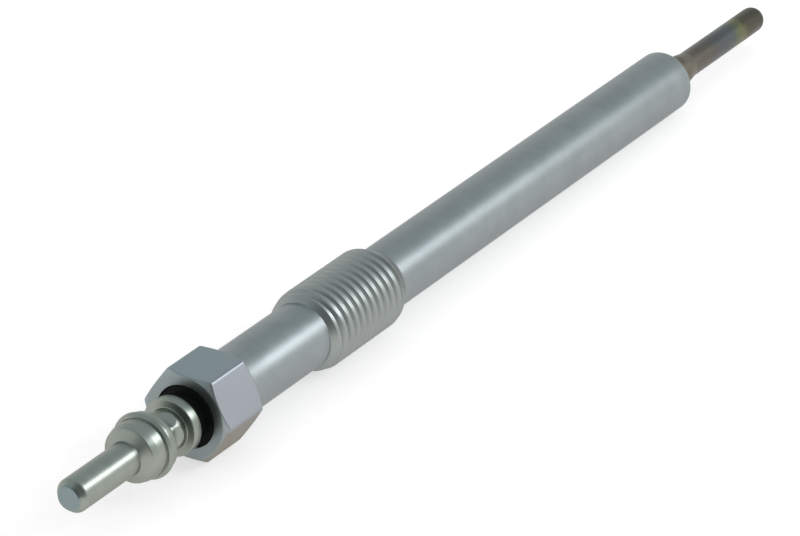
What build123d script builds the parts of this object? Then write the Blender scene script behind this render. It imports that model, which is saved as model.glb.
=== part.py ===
# Diesel glow plug, M10 x 1.25, with a 10 mm hexagon and a push-on terminal pin.
# It lies along X: the terminal points to -X, the glow tube to +X, and one flat of the hexagon faces down.
# The origin is on the plug's axis, at the rim where the barrel ends and the sealing cone begins.
from build123d import *
from math import cos, radians, sin, tan
import os

os.makedirs("parts", exist_ok=True)

# Housing, outside
barrel_diameter = 7.8
barrel_length = 67.5
barrel_rim_radius = 0.35
cone_included_angle = 120.0
thread_diameter = 9.93
thread_length = 16.0
thread_start_chamfer = 0.6
thread_start_diameter = 8.9
thread_start_taper = 2.0
thread_end_taper = 2.0
thread_pitch = 1.25
thread_flank_angle = 30.0
thread_crest_flat = 0.45
thread_root_flat = 0.15
thread_first_groove = 1.925
thread_last_groove = 1.5
shank_diameter = 8.0
shank_length = 16.0
hex_across_flats = 10.0
hex_length = 7.2
hex_face_diameter = 9.9
hex_chamfer_angle = 30.0

# Housing, inside
main_bore_diameter = 5.2
counterbore_diameter = 7.4
bore_edge_chamfer = 0.1

# Glow tube
tube_base_diameter = 4.0
tube_tip_diameter = 3.3
tube_wall = 0.42
tube_press_length = 22.0
tube_base_projection = 3.7
tube_taper_length = 2.1
tube_projection = 24.6
tip_weld_length = 1.6

# Seal in the mouth of the glow tube
tube_seal_length = 3.0

# Terminal stud
stud_diameter = 3.0
stud_neck_diameter = 2.2
stud_neck_lead = 2.0
stud_neck_length = 11.0
stud_spigot_length = 2.4
stud_edge = 0.15

# Coils inside the glow tube
coil_inner_diameter = 1.24
regulating_wire = 0.3
regulating_pitch = 1.6
heating_wire = 0.36
heating_pitch = 0.9
heating_turns = 7
coil_weld_lap = 0.25
coil_clearance = 0.02

# Insulating washer and housing seal
washer_recess = 0.25
washer_thickness = 2.2
washer_hub_diameter = 5.6
washer_side_clearance = 0.05
stud_clearance = 0.05
seal_clearance = 0.02

# Terminal: the flange over the washer, the crimped neck, the knob and the pin
flange_gap = 1.8
flange_diameter = 6.84
flange_thickness = 1.35
neck_diameter = 4.84
neck_length = 3.55
neck_fillet = 0.12
rear_ring_diameter = 7.56
rear_ring_back_diameter = 7.2
rear_ring_width = 0.9
ring_groove_diameter = 7.3
ring_groove_width = 0.1
front_ring_diameter = 7.86
front_ring_step_diameter = 7.5
front_ring_slope_length = 0.45
front_ring_width = 0.8
knob_diameter = 7.0
knob_slope_length = 0.65
knob_length = 1.95
knob_face_diameter = 6.5
knob_face_rise = 0.85
edge_round = 0.12
pin_diameter = 4.0
pin_length = 10.7
pin_face_diameter = 2.7
pin_chamfer_length = 0.8
pin_chamfer_round = 0.5
pin_root_fillet = 0.2
stud_grip = 4.6
drill_point_angle = 118.0

# Crimp flats pressed into the neck
crimp_count = 6
crimp_depth = 0.25
crimp_length = 2.1
crimp_first_angle = 50.0
crimp_rear_distance = 1.8

# Stations along the axis, from the barrel's rim back to the terminal
thread_end_x = -barrel_length
thread_start_x = thread_end_x - thread_length
hex_rear_x = thread_start_x - shank_length
hex_front_x = hex_rear_x - hex_length
washer_front_x = hex_front_x + washer_recess
washer_rear_x = washer_front_x + washer_thickness
flange_rear_x = hex_front_x - flange_gap
flange_front_x = flange_rear_x - flange_thickness
knob_rear_x = flange_front_x - neck_length
ring_groove_rear_x = knob_rear_x - rear_ring_width
ring_groove_front_x = ring_groove_rear_x - ring_groove_width
ring_step_x = ring_groove_front_x - front_ring_width
knob_front_x = ring_step_x - knob_length
pin_root_x = knob_front_x - knob_face_rise
pin_end_x = pin_root_x - pin_length

# Stations and radii of the glow tube and what it holds
cone_drop = (barrel_diameter - tube_base_diameter) / 2
cone_end_x = cone_drop / tan(radians(cone_included_angle / 2))
tube_mouth_x = -tube_press_length
taper_start_x = tube_base_projection
taper_end_x = taper_start_x + tube_taper_length
tip_x = tube_projection
tip_radius = tube_tip_diameter / 2
tube_base_bore = tube_base_diameter / 2 - tube_wall
tube_tip_bore = tip_radius - tube_wall
tip_bore_end_x = tip_x - tip_radius
weld_start_x = tip_bore_end_x - tip_weld_length
stud_front_x = flange_rear_x - stud_grip
stud_neck_x = tube_mouth_x - stud_neck_lead
stud_shoulder_x = stud_neck_x + stud_neck_length
spigot_end_x = stud_shoulder_x + stud_spigot_length
coil_core_radius = coil_inner_diameter / 2

# The seal ring fills the space between the stud and the counterbore
seal_inner_radius = stud_diameter / 2 + stud_clearance
seal_section = counterbore_diameter / 2 - seal_inner_radius - 2 * seal_clearance
seal_centre_radius = (counterbore_diameter / 2 + seal_inner_radius) / 2
seal_centre_x = washer_rear_x + seal_clearance + seal_section / 2
counterbore_end_x = washer_rear_x + seal_section + 2 * seal_clearance


# Housing: hexagon, shank, thread and barrel turned from one hexagon bar, and bored right through
hex_corner_radius = hex_across_flats / 2 / cos(radians(30))
chamfer_drop = hex_corner_radius - hex_face_diameter / 2
hex_chamfer_length = chamfer_drop * tan(radians(hex_chamfer_angle))

# The thread is cut as rings a pitch apart: the first and last grooves lie at these distances from its two ends
groove_mouth = thread_pitch - thread_crest_flat
thread_depth = (groove_mouth - thread_root_flat) / 2 / tan(radians(thread_flank_angle))
first_groove_x = thread_start_x + thread_first_groove
groove_count = int((thread_end_x - thread_last_groove - first_groove_x) / thread_pitch) + 1
groove_stations = [first_groove_x + number * thread_pitch for number in range(groove_count)]
crest_radius = thread_diameter / 2
root_radius = crest_radius - thread_depth
above_crest = crest_radius + thread_depth / 2

with BuildPart() as housing:
    with BuildSketch(Plane.YZ.offset(hex_front_x)):
        RegularPolygon(hex_across_flats / 2, side_count=6, major_radius=False)
    extrude(amount=hex_length)
    # Both ends of the hexagon are turned off to a cone
    with BuildSketch(Plane.XZ):
        with BuildLine():
            Polyline(
                (hex_front_x, 0),
                (hex_front_x, hex_face_diameter / 2),
                (hex_front_x + hex_chamfer_length, hex_corner_radius),
                (hex_rear_x - hex_chamfer_length, hex_corner_radius),
                (hex_rear_x, hex_face_diameter / 2),
                (hex_rear_x, 0),
                close=True,
            )
        make_face()
    revolve(axis=Axis.X, mode=Mode.INTERSECT)

    # Shank, blank of the thread up to its crests, barrel and sealing cone
    with BuildSketch(Plane.XZ):
        with BuildLine():
            Polyline(
                (hex_rear_x, 0),
                (hex_rear_x, shank_diameter / 2),
                (thread_start_x, shank_diameter / 2),
                (thread_start_x + thread_start_chamfer, thread_start_diameter / 2),
                (thread_start_x + thread_start_taper, thread_diameter / 2),
                (thread_end_x - thread_end_taper, thread_diameter / 2),
                (thread_end_x, barrel_diameter / 2),
                (0, barrel_diameter / 2),
                (cone_end_x, tube_base_diameter / 2),
                (cone_end_x, 0),
                close=True,
            )
        make_face()
    revolve(axis=Axis.X)
    barrel_rim = (
        housing.edges()
        .filter_by(GeomType.CIRCLE)
        .filter_by(lambda edge: abs(edge.arc_center.X) < 0.01 and abs(edge.radius - barrel_diameter / 2) < 0.01)
    )
    fillet(barrel_rim, barrel_rim_radius)

    # Thread grooves, with sloping flanks and a small flat at the root
    with BuildSketch(Plane.XZ):
        for groove_x in groove_stations:
            with BuildLine():
                Polyline(
                    (groove_x - thread_root_flat / 2, root_radius),
                    (groove_x + thread_root_flat / 2, root_radius),
                    (groove_x + groove_mouth / 2, crest_radius),
                    (groove_x + groove_mouth / 2, above_crest),
                    (groove_x - groove_mouth / 2, above_crest),
                    (groove_x - groove_mouth / 2, crest_radius),
                    close=True,
                )
            make_face()
    revolve(axis=Axis.X, mode=Mode.SUBTRACT)

    # Counterbore for the seal and the washer, the main bore, and the seat of the glow tube
    with BuildSketch(Plane.XZ):
        with BuildLine():
            Polyline(
                (hex_front_x, 0),
                (hex_front_x, counterbore_diameter / 2 + bore_edge_chamfer),
                (hex_front_x + bore_edge_chamfer, counterbore_diameter / 2),
                (counterbore_end_x, counterbore_diameter / 2),
                (counterbore_end_x, main_bore_diameter / 2),
                (tube_mouth_x, main_bore_diameter / 2),
                (tube_mouth_x, tube_base_diameter / 2),
                (cone_end_x, tube_base_diameter / 2),
                (cone_end_x, 0),
                close=True,
            )
        make_face()
    revolve(axis=Axis.X, mode=Mode.SUBTRACT)
housing.part.label = "housing"


# Glow tube: pressed into the barrel, tapered to the heating end and welded shut round the coil
with BuildPart() as glow_tube:
    with BuildSketch(Plane.XZ):
        with BuildLine():
            Polyline(
                (tip_x, 0),
                (weld_start_x, 0),
                (weld_start_x, coil_core_radius),
                (tip_bore_end_x, coil_core_radius),
                (tip_bore_end_x, tube_tip_bore),
                (taper_end_x, tube_tip_bore),
                (taper_start_x, tube_base_bore),
                (tube_mouth_x, tube_base_bore),
                (tube_mouth_x, tube_base_diameter / 2),
                (taper_start_x, tube_base_diameter / 2),
                (taper_end_x, tip_radius),
                (tip_bore_end_x, tip_radius),
            )
            RadiusArc((tip_bore_end_x, tip_radius), (tip_x, 0), tip_radius)
        make_face()
    revolve(axis=Axis.X)
glow_tube.part.label = "glow_tube"


# Coils: the regulating coil starts on the stud's spigot, and the heating coil ends on the weld in the tip
heating_radius = coil_core_radius + heating_wire / 2
regulating_radius = coil_core_radius + regulating_wire / 2
heating_end_x = tip_bore_end_x - heating_wire / 2
heating_start_x = heating_end_x - heating_turns * heating_pitch
regulating_start_x = stud_shoulder_x + regulating_wire / 2
# The last part turn of the regulating coil lies beside the start of the heating coil, where the two are welded
regulating_end_x = heating_start_x + coil_weld_lap * heating_pitch - (heating_wire + regulating_wire) / 2
regulating_length = regulating_end_x - regulating_start_x
regulating_turns = round(regulating_length / regulating_pitch) + coil_weld_lap
regulating_true_pitch = regulating_length / regulating_turns

with BuildPart() as heating_coil:
    with BuildLine():
        heating_path = Helix(
            pitch=heating_pitch,
            height=heating_turns * heating_pitch,
            radius=heating_radius,
            center=(heating_start_x, 0, 0),
            direction=(1, 0, 0),
        )
    with BuildSketch(Plane(heating_path @ 0, z_dir=heating_path % 0)):
        Circle(heating_wire / 2)
    sweep(path=heating_path, is_frenet=True)
heating_coil.part.label = "heating_coil"

with BuildPart() as regulating_coil:
    with BuildLine():
        regulating_path = Helix(
            pitch=regulating_true_pitch,
            height=regulating_length,
            radius=regulating_radius,
            center=(regulating_start_x, 0, 0),
            direction=(1, 0, 0),
        )
    with BuildSketch(Plane(regulating_path @ 0, z_dir=regulating_path % 0)):
        Circle(regulating_wire / 2)
    sweep(path=regulating_path, is_frenet=True)
regulating_coil.part.label = "regulating_coil"


# Filling: pressed insulating powder, a core inside the coils and a sleeve between them and the tube
channel_radius = coil_core_radius + max(heating_wire, regulating_wire) + coil_clearance
sleeve_start_x = tube_mouth_x + tube_seal_length

with BuildPart() as filling:
    with BuildSketch(Plane.XZ):
        with BuildLine():
            Polyline(
                (sleeve_start_x, stud_neck_diameter / 2),
                (stud_shoulder_x, stud_neck_diameter / 2),
                (stud_shoulder_x, channel_radius),
                (tip_bore_end_x, channel_radius),
                (tip_bore_end_x, tube_tip_bore),
                (taper_end_x, tube_tip_bore),
                (taper_start_x, tube_base_bore),
                (sleeve_start_x, tube_base_bore),
                close=True,
            )
        make_face()
    revolve(axis=Axis.X)
    with BuildSketch(Plane.YZ.offset(spigot_end_x)):
        Circle(coil_core_radius - coil_clearance)
    extrude(amount=weld_start_x - spigot_end_x)
filling.part.label = "filling"


# Seal that closes the mouth of the glow tube round the stud
with BuildPart() as tube_seal:
    with BuildSketch(Plane.YZ.offset(tube_mouth_x)):
        Circle(tube_base_bore)
        Circle(stud_neck_diameter / 2, mode=Mode.SUBTRACT)
    extrude(amount=tube_seal_length)
tube_seal.part.label = "tube_seal"


# Terminal stud: carries the current from the terminal through the housing to the regulating coil
with BuildPart() as terminal_stud:
    with BuildSketch(Plane.XZ):
        with BuildLine():
            Polyline(
                (stud_front_x, 0),
                (stud_front_x, stud_diameter / 2 - stud_edge),
                (stud_front_x + stud_edge, stud_diameter / 2),
                (stud_neck_x - (stud_diameter - stud_neck_diameter) / 2, stud_diameter / 2),
                (stud_neck_x, stud_neck_diameter / 2),
                (stud_shoulder_x, stud_neck_diameter / 2),
                (stud_shoulder_x, coil_core_radius),
                (spigot_end_x, coil_core_radius),
                (spigot_end_x, 0),
                close=True,
            )
        make_face()
    revolve(axis=Axis.X)
terminal_stud.part.label = "terminal_stud"


# Seal ring at the bottom of the counterbore
with BuildPart() as housing_seal:
    with BuildSketch(Plane.XZ):
        with Locations((seal_centre_x, seal_centre_radius)):
            Circle(seal_section / 2)
    revolve(axis=Axis.X)
housing_seal.part.label = "housing_seal"


# Insulating washer: a collar in the counterbore and a hub that stands up to the terminal's flange
with BuildPart() as insulating_washer:
    with BuildSketch(Plane.XZ):
        with BuildLine():
            Polyline(
                (flange_rear_x, stud_diameter / 2 + stud_clearance),
                (flange_rear_x, washer_hub_diameter / 2),
                (washer_front_x, washer_hub_diameter / 2),
                (washer_front_x, counterbore_diameter / 2 - washer_side_clearance),
                (washer_rear_x, counterbore_diameter / 2 - washer_side_clearance),
                (washer_rear_x, stud_diameter / 2 + stud_clearance),
                close=True,
            )
        make_face()
    revolve(axis=Axis.X)
insulating_washer.part.label = "insulating_washer"


# Terminal: pin, knob, neck and flange turned in one piece and crimped onto the stud
drill_point_x = stud_front_x - stud_diameter / 2 / tan(radians(drill_point_angle / 2))
crimp_x = knob_rear_x + crimp_rear_distance
crimp_floor = neck_diameter / 2 - crimp_depth
crimp_top = neck_diameter / 2 + crimp_depth
crimp_half_width = neck_diameter / 2 * tan(radians(180 / crimp_count))


def round_corner(sketch, x, radius_there, size):
    """Rounds the corner of the outline that lies at station x, at the given distance from the axis."""
    corner = sketch.vertices().sort_by_distance((x, radius_there, 0))[0]
    fillet(corner, size)


with BuildPart() as terminal:
    with BuildSketch(Plane.XZ) as outline:
        with BuildLine():
            Polyline(
                (pin_end_x, 0),
                (pin_end_x, pin_face_diameter / 2),
                (pin_end_x + pin_chamfer_length, pin_diameter / 2),
                (pin_root_x, pin_diameter / 2),
                (knob_front_x, knob_face_diameter / 2),
                (knob_front_x + knob_slope_length, knob_diameter / 2),
                (ring_step_x, knob_diameter / 2),
                (ring_step_x, front_ring_step_diameter / 2),
                (ring_step_x + front_ring_slope_length, front_ring_diameter / 2),
                (ring_groove_front_x, front_ring_diameter / 2),
                (ring_groove_front_x, ring_groove_diameter / 2),
                (ring_groove_rear_x, ring_groove_diameter / 2),
                (ring_groove_rear_x, rear_ring_diameter / 2),
                (knob_rear_x, rear_ring_back_diameter / 2),
                (knob_rear_x, neck_diameter / 2),
                (flange_front_x, neck_diameter / 2),
                (flange_front_x, flange_diameter / 2),
                (flange_rear_x, flange_diameter / 2),
                (flange_rear_x, 0),
                close=True,
            )
        make_face()
        round_corner(outline, pin_end_x + pin_chamfer_length, pin_diameter / 2, pin_chamfer_round)
        round_corner(outline, pin_root_x, pin_diameter / 2, pin_root_fillet)
        round_corner(outline, knob_front_x, knob_face_diameter / 2, edge_round)
        round_corner(outline, ring_groove_front_x, front_ring_diameter / 2, edge_round)
        round_corner(outline, knob_rear_x, rear_ring_back_diameter / 2, edge_round)
        round_corner(outline, knob_rear_x, neck_diameter / 2, neck_fillet)
        round_corner(outline, flange_front_x, neck_diameter / 2, neck_fillet)
        round_corner(outline, flange_front_x, flange_diameter / 2, edge_round)
        round_corner(outline, flange_rear_x, flange_diameter / 2, edge_round)
    revolve(axis=Axis.X)

    # Blind bore for the stud
    with BuildSketch(Plane.XZ):
        with BuildLine():
            Polyline(
                (flange_rear_x, 0),
                (flange_rear_x, stud_diameter / 2),
                (stud_front_x, stud_diameter / 2),
                (drill_point_x, 0),
                close=True,
            )
        make_face()
    revolve(axis=Axis.X, mode=Mode.SUBTRACT)

    # Crimp flats round the neck, each hollowed along the axis by the curve of the crimping jaw
    for number in range(crimp_count):
        angle = radians(crimp_first_angle + number * 360 / crimp_count)
        with BuildSketch(Plane((crimp_x, 0, 0), x_dir=(1, 0, 0), z_dir=(0, -sin(angle), cos(angle)))):
            with BuildLine():
                ThreePointArc(
                    (-crimp_length / 2, neck_diameter / 2), (0, crimp_floor), (crimp_length / 2, neck_diameter / 2)
                )
                Polyline(
                    (crimp_length / 2, neck_diameter / 2),
                    (crimp_length / 2, crimp_top),
                    (-crimp_length / 2, crimp_top),
                    (-crimp_length / 2, neck_diameter / 2),
                )
            make_face()
        extrude(amount=crimp_half_width, both=True, mode=Mode.SUBTRACT)
terminal.part.label = "terminal"


# Every piece goes to a file of its own
for piece in (
    housing,
    glow_tube,
    heating_coil,
    regulating_coil,
    filling,
    tube_seal,
    terminal_stud,
    housing_seal,
    insulating_washer,
    terminal,
):
    export_step(piece.part, f"parts/{piece.part.label}.step")
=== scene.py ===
# %% [markdown]
# # Dressing a diesel glow plug
#
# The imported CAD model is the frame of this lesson. It gives every piece its place and size, in metres.
# The plug lies along X: the terminal points to -X and the glow tube to +X.
# Cell by cell, the pieces that show get a finer mesh where they need one, and each piece gets a finish.
# Then come the table it lies on, the light, and the camera of the photograph.

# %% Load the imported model
from math import atan2, cos, degrees, hypot, pi, radians, sin, sqrt, tan

import bmesh
import bpy
from mathutils import Matrix, Vector


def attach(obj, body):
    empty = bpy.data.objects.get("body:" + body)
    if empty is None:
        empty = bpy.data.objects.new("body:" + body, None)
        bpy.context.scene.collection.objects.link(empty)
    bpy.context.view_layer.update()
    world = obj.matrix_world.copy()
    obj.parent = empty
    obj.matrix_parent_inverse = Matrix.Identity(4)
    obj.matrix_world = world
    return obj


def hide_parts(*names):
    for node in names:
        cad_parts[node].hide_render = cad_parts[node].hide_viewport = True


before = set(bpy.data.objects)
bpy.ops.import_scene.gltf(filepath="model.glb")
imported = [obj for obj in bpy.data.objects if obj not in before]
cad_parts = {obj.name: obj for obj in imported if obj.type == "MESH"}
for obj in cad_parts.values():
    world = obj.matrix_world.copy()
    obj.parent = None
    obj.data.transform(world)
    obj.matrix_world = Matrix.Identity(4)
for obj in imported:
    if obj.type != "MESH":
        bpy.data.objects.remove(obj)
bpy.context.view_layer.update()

MM = 0.001

# %% [markdown]
# ## How the turned pieces are made
#
# Nearly all of this object comes off a lathe, so its pieces are spins of a half outline round the X axis.
# The outline is a chain of points. A corner that the lathe leaves rounded is bevelled while it is still a
# wire, which costs a few points, where a Bevel modifier on the finished mesh would also catch edges that
# should stay sharp. The spin closes on itself with use_merge, and merging doubles closes the pole where an
# outline meets the axis.

# %% A half outline, and its spin
STEPS = 144  # faces round a turned piece
ROUND_SEGMENTS = 5  # edges in a rounded corner
MERGE = 0.001  # points closer than this, in millimetres, are one


def outline_wire(bm, corners):
    """Draws a chain of (x, radius, rounding) corners in millimetres, and rounds those that ask for it."""
    verts = [bm.verts.new((x * MM, 0, radius * MM)) for x, radius, _ in corners]
    for a, b in zip(verts, verts[1:]):
        bm.edges.new((a, b))
    for number in range(1, len(corners) - 1):
        rounding = corners[number][2]
        if rounding > 0:
            before, here, after = (Vector(corners[i][:2]) for i in (number - 1, number, number + 1))
            inside = (before - here).angle(after - here)
            bmesh.ops.bevel(
                bm, geom=[verts[number]], offset=rounding / tan(inside / 2) * MM, offset_type="OFFSET",
                segments=ROUND_SEGMENTS, profile=0.5, affect="VERTICES", clamp_overlap=True, material=-1,
            )


def spun(corners, steps=STEPS):
    """Spins a half outline all the way round the X axis."""
    bm = bmesh.new()
    outline_wire(bm, corners)
    bmesh.ops.spin(
        bm, geom=bm.verts[:] + bm.edges[:], cent=(0, 0, 0), axis=(1, 0, 0), dvec=(0, 0, 0),
        angle=2 * pi, steps=steps, use_merge=True, use_duplicate=False,
    )
    bmesh.ops.remove_doubles(bm, verts=bm.verts, dist=MERGE * MM)
    return bm


# %% From a bmesh to an object
SMOOTH_ANGLE = radians(32)  # edges sharper than this stay sharp


def finished(name, bm):
    """Turns a bmesh into an object with its normals outwards, smooth except over its sharp edges."""
    bmesh.ops.recalc_face_normals(bm, faces=bm.faces)
    mesh = bpy.data.meshes.new(name)
    bm.to_mesh(mesh)
    bm.free()
    mesh.polygons.foreach_set("use_smooth", [True] * len(mesh.polygons))
    mesh.set_sharp_from_angle(angle=SMOOTH_ANGLE)
    piece = bpy.data.objects.new(name, mesh)
    bpy.context.scene.collection.objects.link(piece)
    return piece


# %% [markdown]
# ## The housing
#
# One steel bar was turned, hexed, thread-rolled and bored, then zinc plated. The CAD solid has the thread
# as a row of rings, so here the whole housing is made again with true helical turns, and stands for that
# solid. It is built from two skins. One is a spin of everything but the thread. The other is the thread.
#
# The hexagon could be cut with a Boolean, but its small edge rounding is then hard to keep even. Instead
# the spin of a cylinder is pushed in: each point goes to the nearest of the flats and of the chamfer cone,
# and a soft minimum takes a few hundredths of a millimetre off the edge between them.

# %% The stations of the housing, in millimetres
BARREL_R = 3.9
THREAD_END = -67.5
THREAD_START = -83.5
SHANK_R = 4.0
HEX_REAR = -99.5
HEX_FRONT = -106.7
HEX_APOTHEM = 5.0
HEX_CORNER_R = HEX_APOTHEM / cos(radians(30))
HEX_FACE_R = 4.95  # where the chamfer cone meets the end faces
FLAT_FACE_R = HEX_FACE_R - 0.08  # and where their rounding towards the cone begins
COUNTERBORE_R = 3.7
COUNTERBORE_END = -102.09
MOUTH_CHAMFER = 0.1
MAIN_BORE_R = 2.6
TUBE_MOUTH = -22.0
TUBE_BASE_R = 2.0
CONE_TIP = 1.097  # the sealing cone reaches this far past the barrel's rim
EDGE_STEPS = [
    0, 0.015, 0.03, 0.05, 0.08, 0.11, 0.15, 0.19, 0.23,
    0.27, 0.31, 0.35, 0.39, 0.43, 0.47, 0.51, 0.56, 0.65,
]  # rings along the chamfer, closest to each other at the end face
FLAT_SHARES = (0.14, 0.25, 0.4, 0.5, 0.6, 0.75, 0.86)  # rings along the flats, as shares of their length
SHANK_RINGS = (THREAD_START - 5, HEX_REAR + 5)  # stations that keep the faces along the shank short
BARREL_RINGS = (-2, -22, -45)  # and along the barrel
PLAIN_GAP = 0.4  # the plain skin stops this far from the thread's ends
print("Hexagon:", round(HEX_REAR - HEX_FRONT, 2), "mm long")
print("Thread:", THREAD_END - THREAD_START, "mm long")

# %% Everything but the thread, spun in one go
hex_stations = [HEX_FRONT + step for step in EDGE_STEPS]
hex_stations += [HEX_FRONT + share * (HEX_REAR - HEX_FRONT) for share in FLAT_SHARES]
hex_stations += [HEX_REAR - step for step in reversed(EDGE_STEPS)]

housing_bm = spun([
    (THREAD_START - PLAIN_GAP, SHANK_R, 0),
    *[(x, SHANK_R, 0) for x in SHANK_RINGS],
    (HEX_REAR, SHANK_R, 0.15),
    (HEX_REAR, FLAT_FACE_R, 0),
    *[(x, HEX_CORNER_R, 0) for x in reversed(hex_stations)],
    (HEX_FRONT, FLAT_FACE_R, 0),
    (HEX_FRONT, COUNTERBORE_R + MOUTH_CHAMFER, 0.03),
    (HEX_FRONT + MOUTH_CHAMFER, COUNTERBORE_R, 0.03),
    (COUNTERBORE_END, COUNTERBORE_R, 0),
    (COUNTERBORE_END, MAIN_BORE_R, 0),
    (TUBE_MOUTH, MAIN_BORE_R, 0),
    (TUBE_MOUTH, TUBE_BASE_R, 0),
    (CONE_TIP, TUBE_BASE_R, 0),
    (0, BARREL_R, 0.35),
    *[(x, BARREL_R, 0) for x in BARREL_RINGS],
    (THREAD_END + PLAIN_GAP, BARREL_R, 0),
])
print("Housing without its thread:", len(housing_bm.faces), "faces")

# %% Push the spun cylinder in to the hexagon
WARP = 0.85  # draws the points towards the six corners, where the rounding needs them
EDGE_ROUNDING = 0.24  # the rounding starts where two surfaces are this close to each other
CHAMFER_SLOPE = 1 / tan(radians(30))


def soft_min(a, b, rounding):
    """The smaller of two sizes, with a rounded step from one to the other."""
    blend = max(rounding - abs(a - b), 0) / rounding
    return min(a, b) - blend * blend * rounding / 4


def hexagon_radius(x, turn):
    """Radius of the chamfered hexagon at a station, at an angle from the middle of the nearest flat."""
    flat = HEX_APOTHEM / cos(turn)
    next_flat = HEX_APOTHEM / cos(pi / 3 - abs(turn))
    cone = HEX_FACE_R + min(x - HEX_FRONT, HEX_REAR - x) * CHAMFER_SLOPE
    return soft_min(soft_min(flat, next_flat, EDGE_ROUNDING), cone, EDGE_ROUNDING)


for vert in housing_bm.verts:
    x, radius = vert.co.x / MM, hypot(vert.co.y, vert.co.z) / MM
    if radius > HEX_FACE_R and HEX_FRONT - MERGE < x < HEX_REAR + MERGE:
        around = atan2(vert.co.z, vert.co.y)
        flat_centre = round((around - pi / 6) / (pi / 3)) * pi / 3 + pi / 6
        turn = around - flat_centre
        turn += WARP / 6 * sin(6 * turn)
        radius = hexagon_radius(x, turn) * MM
        vert.co.y, vert.co.z = radius * cos(flat_centre + turn), radius * sin(flat_centre + turn)
print("Hexagon:", round(2 * max(vert.co.z for vert in housing_bm.verts) / MM, 2), "mm across its flats,",
      round(2 * max(vert.co.y for vert in housing_bm.verts) / MM, 2), "mm across its rounded corners")

# %% [markdown]
# ## The thread
#
# An M10 thread of 1.25 mm pitch was rolled between the shank and the barrel. A texture could fake the
# turns, but the outline would stay straight, and the light in the grooves would be wrong. So one pitch of
# the profile is swept along a right-hand helix: a spin with a dvec is a screw. Then every point is held
# inside the turned blank, which has a cone at each end, and that leaves the part turns that a real thread
# starts with.

# %% Sweep one pitch once round a helix
PITCH = 1.25
CREST_R = 4.965
ROOT_R = 4.49
CREST_FLAT = 0.6
ROOT_FLAT = 0.12
THREAD_PHASE = -0.14  # part of a pitch that the turns are moved along the axis
LEAD_IN = 1.5  # pitches swept before the thread's start, and again past its end
POINTS_PER_PITCH = 24


def groove_radius(part):
    """Radius of the thread over one pitch: crest, flank, root, flank and crest again."""
    from_root = abs(part - 0.5) * PITCH
    flank = (PITCH - CREST_FLAT - ROOT_FLAT) / 2
    down = min(max((PITCH / 2 - from_root - CREST_FLAT / 2) / flank, 0), 1)
    return CREST_R - (CREST_R - ROOT_R) * down


first_x = THREAD_START - (LEAD_IN - THREAD_PHASE) * PITCH
thread_bm = bmesh.new()
pitch_verts = []
for number in range(POINTS_PER_PITCH + 1):
    part = number / POINTS_PER_PITCH
    point = ((first_x + part * PITCH) * MM, 0, groove_radius(part) * MM)
    pitch_verts.append(thread_bm.verts.new(point))
for a, b in zip(pitch_verts, pitch_verts[1:]):
    thread_bm.edges.new((a, b))
bmesh.ops.spin(
    thread_bm, geom=thread_bm.verts[:] + thread_bm.edges[:], cent=(0, 0, 0), axis=(1, 0, 0),
    dvec=(PITCH / STEPS * MM, 0, 0), angle=2 * pi, steps=STEPS, use_merge=False, use_duplicate=False,
)
print("One turn:", len(thread_bm.faces), "faces")

# %% Copy the turn along the axis
turns = round((THREAD_END - THREAD_START) / PITCH + 2 * LEAD_IN)
first_turn = thread_bm.verts[:] + thread_bm.edges[:] + thread_bm.faces[:]
for turn_number in range(1, turns):
    copied = bmesh.ops.duplicate(thread_bm, geom=first_turn)["geom"]
    copied_verts = [part for part in copied if isinstance(part, bmesh.types.BMVert)]
    bmesh.ops.translate(thread_bm, verts=copied_verts, vec=(turn_number * PITCH * MM, 0, 0))
bmesh.ops.remove_doubles(thread_bm, verts=thread_bm.verts, dist=2 * MERGE * MM)
print("Swept:", turns, "turns,", len(thread_bm.faces), "faces")

# %% Hold the thread inside the turned blank
START_CHAMFER = 0.6  # length of the first, steep cone
START_CHAMFER_R = 4.6
START_TAPER = 2.0  # the blank has its full width this far from the thread's start
END_TAPER = 2.0  # and up to this far from its end
CREST_ROUNDING = 0.06


def blank_radius(x):
    """Radius of the blank that the thread was rolled on."""
    if x < THREAD_START + START_CHAMFER:
        return SHANK_R + (START_CHAMFER_R - SHANK_R) * max(x - THREAD_START, 0) / START_CHAMFER
    if x < THREAD_START + START_TAPER:
        up_the_taper = (x - THREAD_START - START_CHAMFER) / (START_TAPER - START_CHAMFER)
        return START_CHAMFER_R + (CREST_R - START_CHAMFER_R) * up_the_taper
    if x > THREAD_END - END_TAPER:
        return BARREL_R + (CREST_R - BARREL_R) * max(THREAD_END - x, 0) / END_TAPER
    return CREST_R


for vert in thread_bm.verts:
    radius = hypot(vert.co.y, vert.co.z) / MM
    room = blank_radius(vert.co.x / MM)
    if radius > CREST_R - MERGE:
        room += CREST_ROUNDING / 4  # so that the rounding takes hardly anything off a full crest
    held = soft_min(radius, room, CREST_ROUNDING)
    vert.co.y, vert.co.z = vert.co.y * held / radius, vert.co.z * held / radius
crest = max(hypot(vert.co.y, vert.co.z) for vert in thread_bm.verts) / MM
print("Thread:", round(2 * crest, 2), "mm over its crests")

# %% Join the thread to the housing
TURNS_GAP = 0.3  # the thread's skin is cut this far from the thread's ends
SEAM_REACH = 0.2


def open_edges(bm):
    """The edges that only one face uses. A closed skin has none."""
    return [edge for edge in bm.edges if len(edge.link_faces) == 1]


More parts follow.
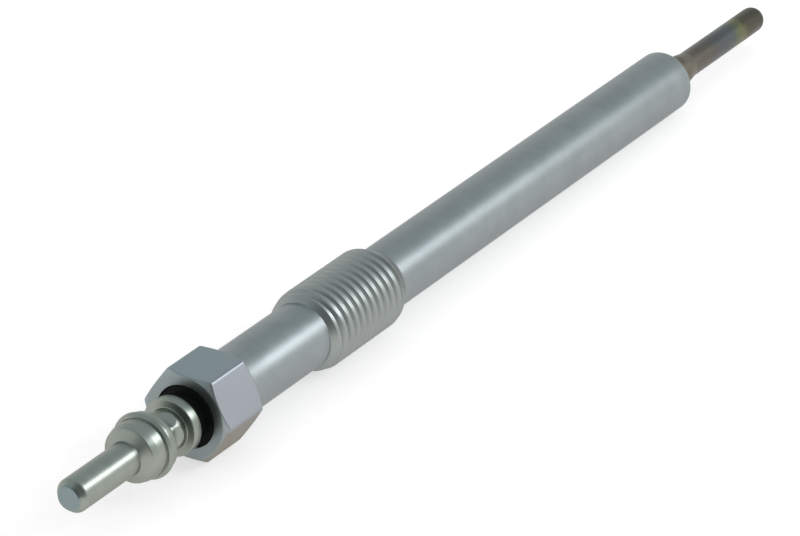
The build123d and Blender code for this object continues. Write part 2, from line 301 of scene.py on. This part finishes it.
for plane_x, outwards in ((THREAD_START - TURNS_GAP, -1), (THREAD_END + TURNS_GAP, 1)):
    bmesh.ops.bisect_plane(
        thread_bm, geom=thread_bm.verts[:] + thread_bm.edges[:] + thread_bm.faces[:], dist=MERGE / 10 * MM,
        plane_co=(plane_x * MM, 0, 0), plane_no=(outwards, 0, 0), clear_outer=True, clear_inner=False,
    )
thread_mesh = bpy.data.meshes.new("thread_turns")
thread_bm.to_mesh(thread_mesh)
thread_bm.free()
housing_bm.from_mesh(thread_mesh)
bpy.data.meshes.remove(thread_mesh)

seam_gap = (PLAIN_GAP + TURNS_GAP) / 2
for seam_x in (THREAD_START - seam_gap, THREAD_END + seam_gap):
    seam = [edge for edge in open_edges(housing_bm) if abs(edge.verts[0].co.x / MM - seam_x) < SEAM_REACH]
    bmesh.ops.bridge_loops(housing_bm, edges=seam)
print("Open edges left in the housing:", len(open_edges(housing_bm)))
housing_skin = finished("housing_skin", housing_bm)
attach(housing_skin, "root")
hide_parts("housing")

# %% [markdown]
# ## The terminal
#
# Pin, knob, neck and flange are turned from one bar and plated. The neck is crimped onto the stud by six
# jaws, whose hollows run round it. The CAD mesh could stay, but its triangles are coarse for so shiny a
# piece, so it is spun again, with a slightly softer edge on the knob's shoulder. The crimp hollows are
# pressed in as the hexagon was: each point of the neck goes down to the curved face of the nearest jaw.

# %% The stations of the terminal, in millimetres
DRILL_POINT = -114.0
STUD_FRONT = -113.1
STUD_R = 1.5
FLANGE_REAR = -108.5
FLANGE_FRONT = -109.85
FLANGE_R = 3.42
NECK_R = 2.42
NECK_FILLET = 0.12
NECK_RINGS = 40
NECK_MARGIN = 0.25  # the rings stay this far from the neck's ends
KNOB_REAR = -113.4
KNOB_REAR_R = 3.6
RIDGE_GROOVE_REAR = -114.3
RIDGE_GROOVE_FRONT = -114.4
RIDGE_GROOVE_R = 3.65
REAR_RIDGE_R = 3.78
FRONT_RIDGE_R = 3.93
RIDGE_SLOPE = 0.45  # length of the slope at the front of the front ridge
KNOB_STEP = -115.2
KNOB_STEP_R = 3.75
KNOB_R = 3.5
SHOULDER_X = -116.5
SHOULDER_R = 3.45
KNOB_FRONT = -117.4
KNOB_FACE_R = 3.22
PIN_ROOT = -118.0
PIN_R = 2.0
PIN_END = -128.7
PIN_CHAMFER = 0.8
PIN_FACE_R = 1.35
EDGE_ROUND = 0.12
print("Pin:", 2 * PIN_R, "mm wide,", round(PIN_ROOT - PIN_END, 2), "mm long")

# %% Spin the terminal
neck_length = FLANGE_FRONT - KNOB_REAR - 2 * NECK_MARGIN
neck_stations = [
    (FLANGE_FRONT - NECK_MARGIN - ring * neck_length / NECK_RINGS, NECK_R, 0)
    for ring in range(NECK_RINGS + 1)
]

terminal_bm = spun([
    (DRILL_POINT, 0, 0),
    (STUD_FRONT, STUD_R, 0),
    (FLANGE_REAR, STUD_R, 0),
    (FLANGE_REAR, FLANGE_R, EDGE_ROUND),
    (FLANGE_FRONT, FLANGE_R, EDGE_ROUND),
    (FLANGE_FRONT, NECK_R, NECK_FILLET),
    *neck_stations,
    (KNOB_REAR, NECK_R, NECK_FILLET),
    (KNOB_REAR, KNOB_REAR_R, EDGE_ROUND),
    (RIDGE_GROOVE_REAR, REAR_RIDGE_R, 0.06),
    (RIDGE_GROOVE_REAR, RIDGE_GROOVE_R, 0),
    (RIDGE_GROOVE_FRONT, RIDGE_GROOVE_R, 0),
    (RIDGE_GROOVE_FRONT, FRONT_RIDGE_R, EDGE_ROUND),
    (KNOB_STEP + RIDGE_SLOPE, FRONT_RIDGE_R, 0.1),
    (KNOB_STEP, KNOB_STEP_R, 0.05),
    (KNOB_STEP, KNOB_R, 0.04),
    (SHOULDER_X, SHOULDER_R, 0.5),
    (KNOB_FRONT, KNOB_FACE_R, 0.18),
    (PIN_ROOT, PIN_R, 0.2),
    (PIN_END + PIN_CHAMFER, PIN_R, 0.5),
    (PIN_END, PIN_FACE_R, 0.08),
    (PIN_END, 0, 0),
])
print("Terminal:", len(terminal_bm.faces), "faces")

# %% Press the crimp hollows into the neck
CRIMP_X = KNOB_REAR + 1.8
CRIMP_HALF = 1.05  # half of a hollow's length
CRIMP_DEPTH = 0.25
CRIMP_ROUNDING = 0.04
CRIMP_MARGIN = 0.1  # points this far outside the hollows are looked at too
CRIMP_FIRST = radians(50)
JAW_R = (CRIMP_HALF ** 2 + CRIMP_DEPTH ** 2) / (2 * CRIMP_DEPTH)

for vert in terminal_bm.verts:
    x, radius = vert.co.x / MM, hypot(vert.co.y, vert.co.z) / MM
    if abs(x - CRIMP_X) < CRIMP_HALF + CRIMP_MARGIN and abs(radius - NECK_R) < 10 * MERGE:
        around = atan2(vert.co.z, vert.co.y)
        turn = (around - CRIMP_FIRST + pi / 6) % (pi / 3) - pi / 6
        jaw = NECK_R - CRIMP_DEPTH + JAW_R - sqrt(JAW_R ** 2 - (x - CRIMP_X) ** 2)
        pressed = soft_min(NECK_R + CRIMP_ROUNDING / 4, jaw / cos(turn), CRIMP_ROUNDING)
        vert.co.y, vert.co.z = vert.co.y * pressed / radius, vert.co.z * pressed / radius
print("Open edges left in the terminal:", len(open_edges(terminal_bm)))
terminal_skin = finished("terminal_skin", terminal_bm)
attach(terminal_skin, "root")
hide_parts("terminal")

# %% [markdown]
# ## The glow tube
#
# A thin tube of heat-proof alloy is pressed into the barrel, drawn down to the heating end, and welded
# shut over the coil. The CAD mesh is loose triangles, which shade in facets, so the tube is spun again
# from the same outline. Its round end is a formula, one point for every few degrees.

# %% Spin the glow tube
TUBE_STEPS = 96  # faces round the tube
TUBE_TIP_R = 1.65
TUBE_WALL = 0.42
TAPER_START = 3.7
TAPER_END = 5.8
TAPER_ROUNDING = 1.5
TIP_X = 24.6
TIP_BORE_END = TIP_X - TUBE_TIP_R
COIL_CORE_R = 0.62
WELD_START = TIP_BORE_END - 1.6  # from here to the tip the weld fills the coil's core
DOME_STEP = 6  # degrees from point to point of the round end
dome = [
    (TIP_BORE_END + TUBE_TIP_R * sin(radians(turn)), TUBE_TIP_R * cos(radians(turn)), 0)
    for turn in range(DOME_STEP, 90, DOME_STEP)
]

tube_bm = spun([
    (WELD_START, 0, 0),
    (WELD_START, COIL_CORE_R, 0),
    (TIP_BORE_END, COIL_CORE_R, 0),
    (TIP_BORE_END, TUBE_TIP_R - TUBE_WALL, 0),
    (TAPER_END, TUBE_TIP_R - TUBE_WALL, 0),
    (TAPER_START, TUBE_BASE_R - TUBE_WALL, 0),
    (TUBE_MOUTH, TUBE_BASE_R - TUBE_WALL, 0),
    (TUBE_MOUTH, TUBE_BASE_R, 0),
    (0, TUBE_BASE_R, 0),
    (TAPER_START, TUBE_BASE_R, TAPER_ROUNDING),
    (TAPER_END, TUBE_TIP_R, TAPER_ROUNDING),
    (TIP_BORE_END, TUBE_TIP_R, 0),
    *dome,
    (TIP_X, 0, 0),
], steps=TUBE_STEPS)
print("Open edges left in the glow tube:", len(open_edges(tube_bm)))
tube_skin = finished("glow_tube_skin", tube_bm)
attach(tube_skin, "root")
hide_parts("glow_tube")

# %% [markdown]
# ## Writing finishes as sums
#
# A finish is a tree of shader nodes, and most of them only add or multiply numbers. Wired by hand that is
# long and hard to read. Here a small class stands for a socket and understands + - * / and **, so that a
# mask reads as the sum that it is. Every other kind of node comes from one method, which sets the node up
# and links it.

# %% A socket that can be used in sums
class Signal:
    """A value that changes over a surface: the output of one node."""

    def __init__(self, finish, socket):
        self.finish = finish
        self.socket = socket

    def sum_with(self, operation, first, second):
        """One Math node, with two numbers or signals going in."""
        return self.finish.node("ShaderNodeMath", {"operation": operation}, {0: first, 1: second})

    def __add__(self, other):
        return self.sum_with("ADD", self, other)

    def __radd__(self, other):
        return self.sum_with("ADD", other, self)

    def __sub__(self, other):
        return self.sum_with("SUBTRACT", self, other)

    def __rsub__(self, other):
        return self.sum_with("SUBTRACT", other, self)

    def __mul__(self, other):
        return self.sum_with("MULTIPLY", self, other)

    def __rmul__(self, other):
        return self.sum_with("MULTIPLY", other, self)

    def __truediv__(self, other):
        return self.sum_with("DIVIDE", self, other)

    def __pow__(self, other):
        return self.sum_with("POWER", self, other)


# %% A finish, with its surface shader
class Finish:
    """A material under construction. Its plain settings are given by name, and the rest is linked later."""

    def __init__(self, name, **plain):
        self.material = bpy.data.materials.new(name)
        self.material.use_nodes = True
        self.tree = self.material.node_tree
        self.shader = self.tree.nodes["Principled BSDF"]
        for socket, value in plain.items():
            self.shader.inputs[socket.replace("_", " ")].default_value = value

    def node(self, kind, settings=None, values=None, output=0):
        """Adds one node: its settings first, then the values or links of its sockets."""
        node = self.tree.nodes.new(kind)
        for setting, value in (settings or {}).items():
            if setting == "stops":
                ramp = node.color_ramp
                while len(ramp.elements) < len(value):
                    ramp.elements.new(1)
                for element, (position, colour) in zip(ramp.elements, value):
                    element.position = position
                    element.color = (*colour, 1)
            elif setting == "interpolation":
                node.color_ramp.interpolation = value
            else:
                setattr(node, setting, value)
        for socket, value in (values or {}).items():
            self.join(node.inputs[socket], value)
        return Signal(self, node.outputs[output])

    def join(self, socket, value):
        """Links a signal to a socket, or writes a plain value in it."""
        if isinstance(value, Signal):
            self.tree.links.new(value.socket, socket)
        elif isinstance(value, tuple) and len(value) == 3 and len(socket.default_value) == 4:
            socket.default_value = (*value, 1)
        else:
            socket.default_value = value

    def place(self):
        """The point on the surface, and its x, y and z in millimetres."""
        place = self.node("ShaderNodeTexCoord", output="Object")
        parts = [self.node("ShaderNodeSeparateXYZ", None, {0: place}, output=axis) for axis in "XYZ"]
        return place, [part * (1 / MM) for part in parts]

    def ramp(self, signal, stops, interpolation="LINEAR"):
        """A colour for each value of a signal."""
        settings = {"stops": stops, "interpolation": interpolation}
        return self.node("ShaderNodeValToRGB", settings, {0: signal})

    def noise(self, place, scale, detail=3, roughness=0.5):
        """Cloudy values from 0 to 1, with about this many clouds in a metre."""
        values = {"Vector": place, "Scale": scale, "Detail": detail, "Roughness": roughness}
        return self.node("ShaderNodeTexNoise", {"noise_dimensions": "3D"}, values)

    def lines(self, along, per_mm):
        """Fine lines across a direction, as a cutting tool leaves them."""
        values = {"W": along * per_mm, "Scale": 1.0, "Detail": 2}
        return self.node("ShaderNodeTexNoise", {"noise_dimensions": "1D"}, values)

    def between(self, signal, low, high):
        """A mask: 0 where a signal is below low, 1 where it is above high, and a soft step between them."""
        values = {0: signal, 1: low, 2: high, 3: 0.0, 4: 1.0}
        return self.node("ShaderNodeMapRange", {"interpolation_type": "SMOOTHSTEP"}, values)

    def mix(self, factor, first, second):
        """One colour turning into another."""
        values = {"Factor": factor, 6: first, 7: second}
        return self.node("ShaderNodeMix", {"data_type": "RGBA"}, values, output=2)

    def bump(self, height, depth_mm):
        """Links a height to the surface's normal."""
        values = {"Strength": 1.0, "Distance": depth_mm * MM, "Height": height}
        self.join(self.shader.inputs["Normal"], self.node("ShaderNodeBump", None, values))

    def paint(self, colour, roughness=None):
        """Links what changes over the surface to the shader."""
        self.join(self.shader.inputs["Base Color"], colour)
        if roughness is not None:
            self.join(self.shader.inputs["Roughness"], roughness)

    def surface(self, signal):
        """Puts another shader in the place of the plain one."""
        self.join(self.tree.nodes["Material Output"].inputs["Surface"], signal)

    def put_on(self, *pieces):
        """Gives the material to each piece, as its only slot."""
        for piece in pieces:
            piece.data.materials.clear()
            piece.data.materials.append(self.material)
        print(self.material.name, "on", ", ".join(piece.name for piece in pieces))


# %% [markdown]
# ## Zinc plate on the housing
#
# Bright zinc is a thin, fine-grained layer: satin, slightly blue, and cloudy when looked at closely. Under
# it the fine lines that the lathe left round the axis still show a little. An image would need the mesh
# unwrapped first, so one finish does all of the housing, with masks made from the place of each point.
#
# The layer's clouds are its own. Over them each face of the hexagon gets a painted reflection: the top flat
# and the end face a little teal, the flat beside it nearer to violet, the flat near the table warmer, and
# the end face darker. In the thread's grooves the colour is painted paler, as painted light, and the gloss
# is duller.

# %% The zinc itself
DARK_ZINC = (0.29, 0.318, 0.32)
PALE_ZINC = (0.325, 0.353, 0.352)

zinc = Finish("bright_zinc_plate", Metallic=1.0, Specular_Tint=(0.7, 0.7, 0.7, 1))
zinc_place, (zinc_x, zinc_y, zinc_z) = zinc.place()
clouds = zinc.noise(zinc_place, 260, detail=4, roughness=0.6)
grain = zinc.noise(zinc_place, 2600, detail=3, roughness=0.6)
tool_lines = zinc.lines(zinc_x, 9)
zinc_colour = zinc.mix(zinc.between(clouds, 0.3, 0.7), DARK_ZINC, PALE_ZINC)
zinc.bump(tool_lines * 0.5 + grain * 0.5, 0.004)

# %% Painted reflections on the hexagon's faces
PAINTED_TEAL_REFLECTION = (0.32, 0.375, 0.39)
PAINTED_VIOLET_REFLECTION = (0.325, 0.342, 0.372)
PAINTED_WARM_REFLECTION = (0.29, 0.25, 0.19)
PAINTED_END_FACE_REFLECTION = (0.25, 0.285, 0.265)
# REFLECTION_PAINT_SHARE: how much of a face's painted reflection covers the zinc's own colour
REFLECTION_PAINT_SHARE = 0.8  # how much of a flat's tone covers the zinc's own
ACROSS, UP = cos(radians(30)), sin(radians(30))  # of the directions in which the side flats face

on_hexagon = 1 - zinc.between(zinc_x, HEX_REAR - 0.1, HEX_REAR + 0.1)
off_end_face = zinc.between(zinc_x, HEX_FRONT, HEX_FRONT + 0.3)

top_flat = zinc.between(zinc_z, HEX_APOTHEM - 0.8, HEX_APOTHEM - 0.1) * on_hexagon
top_and_end = 1 - (1 - top_flat) * off_end_face
# Painted reflection: the top flat and the end face are tinted teal.
zinc_colour = zinc.mix(top_and_end * REFLECTION_PAINT_SHARE, zinc_colour, PAINTED_TEAL_REFLECTION)

# Painted reflection: the flat beside the top one is tinted violet.
towards_side_flat = zinc_y * -ACROSS + zinc_z * UP
side_flat = on_hexagon * zinc.between(towards_side_flat, HEX_APOTHEM - 0.8, HEX_APOTHEM - 0.1)
zinc_colour = zinc.mix(side_flat * off_end_face * REFLECTION_PAINT_SHARE, zinc_colour, PAINTED_VIOLET_REFLECTION)

# Painted reflection: the flat near the table is tinted warm, as the shaded table seen in it.
towards_low_flat = zinc_y * -ACROSS + zinc_z * -UP
low_flat = on_hexagon * zinc.between(towards_low_flat, HEX_APOTHEM - 1.0, HEX_APOTHEM - 0.2)
low_flat = low_flat * (1 - zinc.between(zinc_z, -0.5, 0.1))
zinc_colour = zinc.mix(low_flat * off_end_face * (0.6 + 0.4 * clouds), zinc_colour, PAINTED_WARM_REFLECTION)

# Painted reflection: the end face is made darker.
on_end_face = 1 - zinc.between(zinc_x, HEX_FRONT, HEX_FRONT + 0.2)
zinc_colour = zinc.mix(on_end_face * 0.5, zinc_colour, PAINTED_END_FACE_REFLECTION)

# %% Tones of the thread, painted light in its grooves, and the gloss of the whole
THREAD_ZINC = (0.325, 0.348, 0.335)
PAINTED_GROOVE_LIGHT = (0.5, 0.53, 0.5)
full_start = THREAD_START + START_TAPER  # between these two stations the grooves have their full depth
full_end = THREAD_END - END_TAPER

on_thread = zinc.between(zinc_x, THREAD_START - 0.2, THREAD_START + 0.2)
on_thread = on_thread * (1 - zinc.between(zinc_x, THREAD_END - 0.2, THREAD_END + 0.1))
zinc_colour = zinc.mix(on_thread, zinc_colour, THREAD_ZINC)

zinc_radius = (zinc_y * zinc_y + zinc_z * zinc_z) ** 0.5
in_groove = 1 - zinc.between(zinc_radius, ROOT_R + 0.01, CREST_R - 0.015)
full_turns = zinc.between(zinc_x, full_start + 0.3, full_start + 1.1)
full_turns = full_turns * (1 - zinc.between(zinc_x, full_end - 0.1, full_end + 0.5))
grooves_with_painted_light = in_groove * full_turns
# Painted light: the grooves are coloured paler than the crests, and their gloss is duller.
zinc_colour = zinc.mix(grooves_with_painted_light, zinc_colour, PAINTED_GROOVE_LIGHT)

zinc.paint(zinc_colour, 0.31 + 0.08 * clouds + 0.05 * tool_lines + 0.12 * grooves_with_painted_light)
zinc.put_on(housing_skin)

# %% [markdown]
# ## Plating on the terminal
#
# The terminal is turned steel under a bright plate, shinier than the housing, with rings from the lathe
# tool. They are too fine to model, so they are a noise that changes along X alone and so runs round the
# piece. The plate is a touch warmer than zinc. The end face of the pin is painted darker and cooler, as a
# painted reflection.

# %% The terminal's plating
DARK_PLATE = (0.287, 0.315, 0.276)
PALE_PLATE = (0.32, 0.345, 0.306)
PAINTED_PIN_FACE_REFLECTION = (0.235, 0.285, 0.29)

plate = Finish("bright_plate", Metallic=1.0, Specular_Tint=(0.7, 0.7, 0.7, 1))
plate_place, (plate_x, _, _) = plate.place()
plate_clouds = plate.noise(plate_place, 500, detail=4)
plate_rings = plate.lines(plate_x, 14)
plate_colour = plate.mix(plate.between(plate_clouds, 0.3, 0.7), DARK_PLATE, PALE_PLATE)
# Painted reflection: the end face of the pin is made darker and cooler.
on_pin_face = 1 - plate.between(plate_x, PIN_END + 0.1, PIN_END + 0.3)
plate_colour = plate.mix(on_pin_face, plate_colour, PAINTED_PIN_FACE_REFLECTION)
plate.paint(plate_colour, 0.25 + 0.08 * plate_clouds + 0.06 * plate_rings)
plate.bump(plate_rings, 0.004)
plate.put_on(terminal_skin)

# %% [markdown]
# ## Heat tint on the glow tube
#
# The maker glows each plug once, and the oxide that grows colours the alloy by how hot it was: straw and
# brown near the housing, then blue grey, a green and yellow flush, and olive brown at the hot end. A colour
# ramp along the tube does it, with a little noise so that the bands don't end on straight lines.

# %% The tube's heat tint
tint = Finish("heat_tint", Metallic=1.0)
tint_place, (tint_x, _, _) = tint.place()
tint_clouds = tint.noise(tint_place, 420, detail=3)
tint_rings = tint.lines(tint_x, 6)
along_tube = (tint_x + tint_clouds * 3 - 1.5) / TIP_X
tint_colour = tint.ramp(along_tube, [
    (0.0, (0.15, 0.138, 0.105)),
    (0.16, (0.155, 0.138, 0.105)),
    (0.36, (0.125, 0.112, 0.092)),
    (0.5, (0.1, 0.103, 0.105)),
    (0.64, (0.1, 0.116, 0.115)),
    (0.715, (0.145, 0.152, 0.075)),
    (0.79, (0.088, 0.08, 0.056)),
    (1.0, (0.072, 0.068, 0.05)),
], interpolation="EASE")
tint.paint(tint_colour, 0.34 + 0.12 * tint_clouds + 0.05 * tint_rings)
tint.bump(tint_rings, 0.003)
tint.put_on(tube_skin)

# %% [markdown]
# ## Black plastic, rubber, powder and wire
#
# The washer is a glass-filled plastic, nearly black and a little glossy. The seals, wires and powder lie
# inside the plug and never show, but the model is taken apart in use, so each has a finish of its own too.
# What is moulded or pressed has one even grain, which moves its shade, its gloss and its surface together.

# %% Plastic, rubber and powder
def grained(name, gloss, grain_size, roughness, spread, depth_mm, dark, pale):
    """A plain material with an even grain. Its roughness goes up by the spread in the pale grains."""
    finish = Finish(name, Metallic=0.0, Specular_IOR_Level=gloss)
    place, _ = finish.place()
    grains = finish.noise(place, *grain_size)
    finish.paint(finish.mix(grains, dark, pale), roughness + spread * grains)
    finish.bump(grains, depth_mm)
    return finish


grained(
    "washer_plastic", gloss=0.12, grain_size=(3000, 2), roughness=0.5, spread=0.15, depth_mm=0.006,
    dark=(0.003, 0.004, 0.0035), pale=(0.006, 0.008, 0.007),
).put_on(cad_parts["insulating_washer"])
grained(
    "black_rubber", gloss=0.3, grain_size=(1800, 3), roughness=0.7, spread=0.2, depth_mm=0.01,
    dark=(0.012, 0.012, 0.013), pale=(0.03, 0.029, 0.028),
).put_on(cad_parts["housing_seal"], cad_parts["tube_seal"])
grained(
    "pressed_powder", gloss=0.2, grain_size=(5200, 3, 0.7), roughness=0.85, spread=0.1, depth_mm=0.02,
    dark=(0.7, 0.69, 0.65), pale=(0.86, 0.85, 0.81),
).put_on(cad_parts["filling"])


# %% The stud and the wires
def drawn_metal(name, dull, bright, roughness, lines_per_mm):
    """Metal that was turned or wound: fine rings round X, and a cloudy shade."""
    metal = Finish(name, Metallic=1.0)
    place, (along, _, _) = metal.place()
    shade = metal.noise(place, 900, detail=3)
    scratches = metal.lines(along, lines_per_mm)
    metal.paint(metal.mix(shade, dull, bright), roughness + 0.1 * scratches)
    metal.bump(scratches, 0.003)
    return metal


drawn_metal(
    "plain_steel", dull=(0.3, 0.3, 0.31), bright=(0.42, 0.42, 0.43), roughness=0.26, lines_per_mm=8,
).put_on(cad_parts["terminal_stud"])
drawn_metal(
    "hot_wire", dull=(0.2, 0.19, 0.17), bright=(0.34, 0.32, 0.3), roughness=0.35, lines_per_mm=20,
).put_on(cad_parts["heating_coil"])
drawn_metal(
    "nickel_wire", dull=(0.34, 0.32, 0.3), bright=(0.5, 0.48, 0.45), roughness=0.28, lines_per_mm=20,
).put_on(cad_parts["regulating_coil"])

# %% [markdown]
# ## The table
#
# The plug rests on the last crest of its thread and on the rim of its barrel, whose radii differ, so its
# axis leans by less than a degree to the table. The table is white. It takes the plug's shadow as any
# surface does, and a small glow of its own keeps the open table white to the camera and to the plated
# metal.

# %% A pale table under the plug
TABLE_HALF = 1.5  # half of its side, in metres
TABLE_GAP = 0.01  # between the plug and the table, in millimetres

rest_slope = (CREST_R - BARREL_R) / (-THREAD_END + END_TAPER)
lean = atan2(rest_slope, 1)
table_bm = bmesh.new()
bmesh.ops.create_grid(table_bm, x_segments=2, y_segments=2, size=TABLE_HALF)
bmesh.ops.rotate(table_bm, verts=table_bm.verts, cent=(0, 0, 0), matrix=Matrix.Rotation(-lean, 3, "Y"))
bmesh.ops.translate(table_bm, verts=table_bm.verts, vec=(0, 0, -BARREL_R * MM - TABLE_GAP * MM))
table = finished("table", table_bm)
print("The plug's axis leans", round(degrees(lean), 2), "degrees to the table")

# %% White to the camera and to the metal
TABLE_GLOW = 0.58

white = Finish("white_table", Roughness=0.9, Specular_IOR_Level=0.0)
table_place, _ = white.place()
table_clouds = white.noise(table_place, 3, detail=2)
white.paint(white.mix(table_clouds, (0.43, 0.43, 0.43), (0.45, 0.45, 0.45)))
camera_ray, glossy_ray, transmission_ray = (
    white.node("ShaderNodeLightPath", output=kind)
    for kind in ("Is Camera Ray", "Is Glossy Ray", "Is Transmission Ray")
)
seen = camera_ray + glossy_ray + transmission_ray
glow = white.node("ShaderNodeEmission", None, {"Color": (1.0, 1.0, 1.0), "Strength": seen * TABLE_GLOW})
paper = Signal(white, white.shader.outputs[0])
white.surface(white.node("ShaderNodeAddShader", None, {0: paper, 1: glow}))
white.put_on(table)

# %% [markdown]
# ## The light
#
# Plain metal is a picture of what stands round it. In the photograph it shows a broad soft panel, high on
# the right and beyond the glow tube, whose image is the bright line along every cylinder, and also a grey
# ceiling and a dark side near the camera. So the world is plain white, a thin grey tent hangs over the
# table for the reflections alone, and one soft panel lights the plug. A solid backdrop could do it too, but
# a see-through tent only has to be described where it is darker than the room behind it.

# %% A plain white world
world = bpy.data.worlds.new("plain_room")
bpy.context.scene.world = world
world.use_nodes = True
background = world.node_tree.nodes["Background"]
background.inputs["Color"].default_value = (1, 1, 1, 1)
background.inputs["Strength"].default_value = 1.0
print("World:", world.name, "with a strength of", background.inputs["Strength"].default_value)

# %% A grey tent that only reflections see
TENT_R = 1.4  # metres
HEM_HEIGHT = 0.004  # its lower edge, in metres above the plug's axis

tent_bm = bmesh.new()
bmesh.ops.create_icosphere(tent_bm, subdivisions=5, radius=TENT_R)
bmesh.ops.bisect_plane(
    tent_bm, geom=tent_bm.verts[:] + tent_bm.edges[:] + tent_bm.faces[:], dist=0.0001,
    plane_co=(0, 0, HEM_HEIGHT), plane_no=(0, 0, -1), clear_outer=True, clear_inner=False,
)
tent = finished("reflection_tent", tent_bm)
tent.visible_camera = tent.visible_diffuse = tent.visible_shadow = False
print("Tent:", len(tent.data.polygons), "faces")

# %% The tent's cloth
DARK_CLOTH = (0.22, 0.235, 0.235)

cloth = Finish("tent_cloth")
_, tent_xyz = cloth.place()
to_the_tip, to_the_left, upwards = (part * (MM / TENT_R) for part in tent_xyz)  # from -1 to 1
beside_the_camera = 1 - cloth.between(to_the_left, -0.15, 0.33)
dark_side = (1 - cloth.between(to_the_tip, -0.45, 0.15)) * beside_the_camera
overhead = cloth.ramp(upwards, [
    (0.0, (1.0, 1.0, 1.0)),
    (0.25, (0.95, 0.97, 0.96)),
    (0.41, (0.74, 0.79, 0.8)),
    (0.52, (0.63, 0.69, 0.72)),
    (0.65, (0.56, 0.63, 0.67)),
])
shade = cloth.mix(dark_side, overhead, DARK_CLOTH)
cloth.surface(cloth.node("ShaderNodeBsdfTransparent", None, {"Color": shade}))
cloth.put_on(tent)


# %% A soft panel
def soft_panel(name, place, looks_at, along, size, radiance, colour):
    """A soft light, its size in metres, whose face is so many times as bright as white paper."""
    lamp = bpy.data.lights.new(name, "AREA")
    lamp.shape = "RECTANGLE"
    lamp.size, lamp.size_y = size
    lamp.energy = radiance * size[0] * size[1] * pi
    lamp.color = colour
    holder = bpy.data.objects.new(name, lamp)
    bpy.context.scene.collection.objects.link(holder)
    backwards = (Vector(place) - Vector(looks_at)).normalized()
    lengthwise = (Vector(along) - backwards * Vector(along).dot(backwards)).normalized()
    turned = Matrix((lengthwise, backwards.cross(lengthwise), backwards)).transposed()
    holder.matrix_world = Matrix.Translation(place) @ turned.to_4x4()
    holder.visible_camera = False
    return holder


panel = soft_panel(
    "panel_behind_right",
    place=(0.104, -0.226, 0.215), looks_at=(-0.09, 0, 0), along=(0.207, 0.057, -0.13),
    size=(0.226, 0.12), radiance=4.9, colour=(0.94, 0.96, 1.0),
)
print("Soft panel:", round(panel.data.energy, 3), "watts")

# %% [markdown]
# ## The camera
#
# The photograph's camera stood in front of the terminal, to one side and about 28 degrees above the axis,
# far enough away that the plug shows little perspective, and rolled by a few degrees. Placed by eye, it
# would never fit. It was fitted to the hexagon's corners and the outlines, and is written here as three
# angles, the point that it aims past, a distance and a lens.

# %% The photograph's camera
AZIMUTH = radians(30.191)
ELEVATION = radians(27.949)
ROLL = radians(3.786)
AIM_X, AIM_RIGHT, AIM_UP = -67.354, -2.589, -1.605  # millimetres
DEPTH = 572.481  # millimetres
LENS = 224.25
SENSOR = 36.0

gaze = Vector((cos(AZIMUTH) * cos(ELEVATION), sin(AZIMUTH) * cos(ELEVATION), -sin(ELEVATION)))
level_right = gaze.cross(Vector((0, 0, 1))).normalized()
level_up = level_right.cross(gaze)
right = cos(ROLL) * level_right + sin(ROLL) * level_up
up = cos(ROLL) * level_up - sin(ROLL) * level_right
eye = Vector((AIM_X, 0, 0)) - (AIM_RIGHT * right + AIM_UP * up + DEPTH * gaze)

camera = bpy.data.objects.new("camera", bpy.data.cameras.new("camera"))
bpy.context.scene.collection.objects.link(camera)
camera.data.lens = LENS
camera.data.sensor_width = SENSOR
camera.data.clip_start, camera.data.clip_end = 0.01, 10
camera_turn = Matrix((right, up, -gaze)).transposed()
camera.matrix_world = Matrix.Translation(eye * MM) @ camera_turn.to_4x4()
bpy.context.scene.camera = camera
bpy.context.scene.view_settings.view_transform = "Standard"
print("The camera stands", round(eye.length), "mm from the rim of the barrel")
